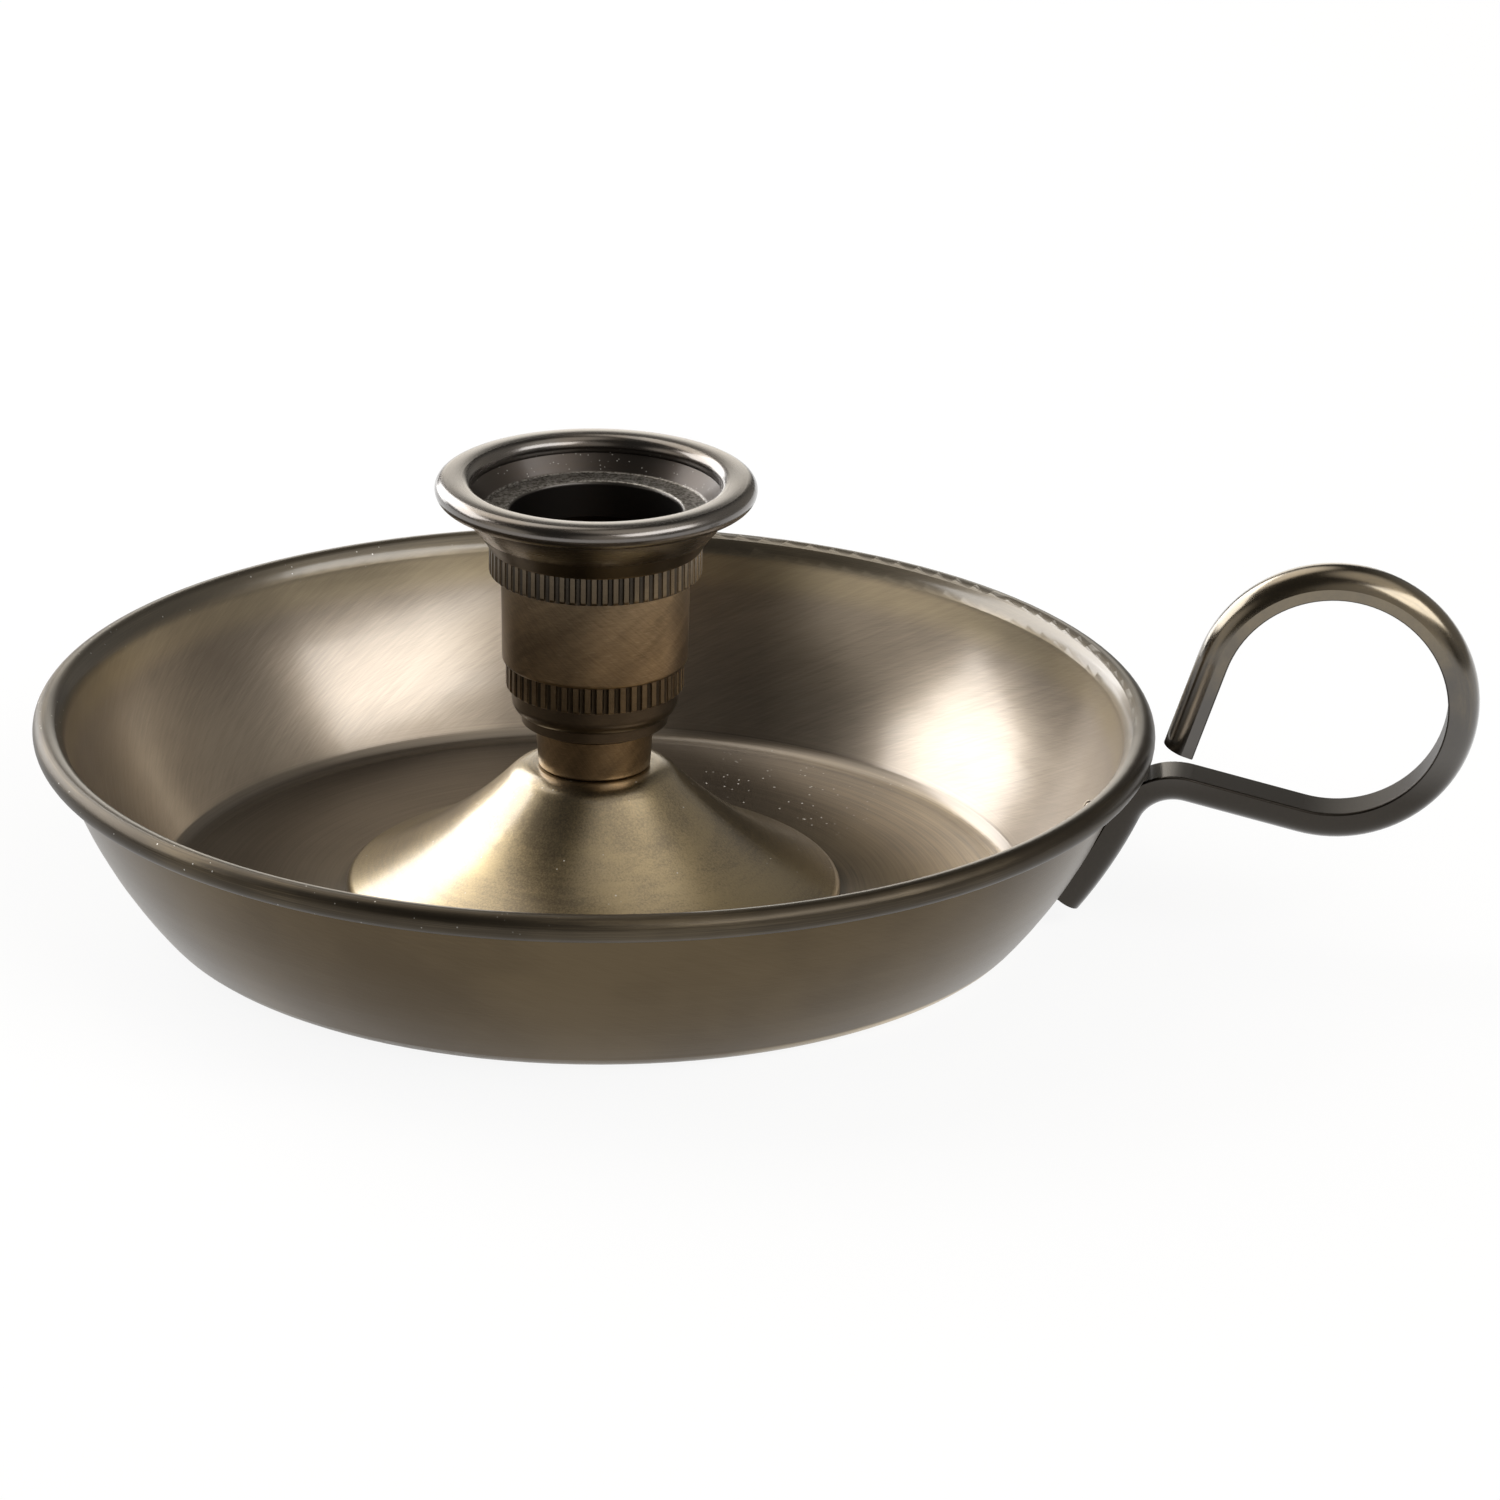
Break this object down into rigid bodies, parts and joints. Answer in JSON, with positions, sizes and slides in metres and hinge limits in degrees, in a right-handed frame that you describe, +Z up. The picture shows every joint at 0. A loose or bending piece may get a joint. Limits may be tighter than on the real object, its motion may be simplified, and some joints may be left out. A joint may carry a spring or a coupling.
{
  "type": "chamberstick",
  "caption": "Low dish candle holder with a rolled rim, a flared foot, a turned socket with milled bands, a wide drip lip and a bent finger loop handle.",
  "frame": {"origin": "on the axis of the pan and the candle socket, at the surface that the pan stands on", "axes": "+Z up along the candle's axis, +X towards the finger loop, +Y completes a right-handed set"},
  "size_m": [0.1927, 0.15, 0.0602],
  "materials": {
    "pan": "brown patina, satin, brushed round the axis",
    "cone": "light patina, satin, fine grain",
    "socket": "brown patina, satin, worn ridges",
    "lip": "dark patina, semi-gloss",
    "handle": "dark patina, satin, worn at the top of the loop",
    "screws": "plain, satin"
  },
  "bodies": {
    "root": {"pan": "pan", "pedestal_cone": "cone", "neck_collar": "socket", "socket_base": "socket", "socket_barrel": "socket", "drip_lip": "lip", "handle": "handle", "centre_screw": "screws", "screw_washer": "screws", "handle_screw_lower": "screws", "handle_screw_upper": "screws"}
  },
  "joints": []
}
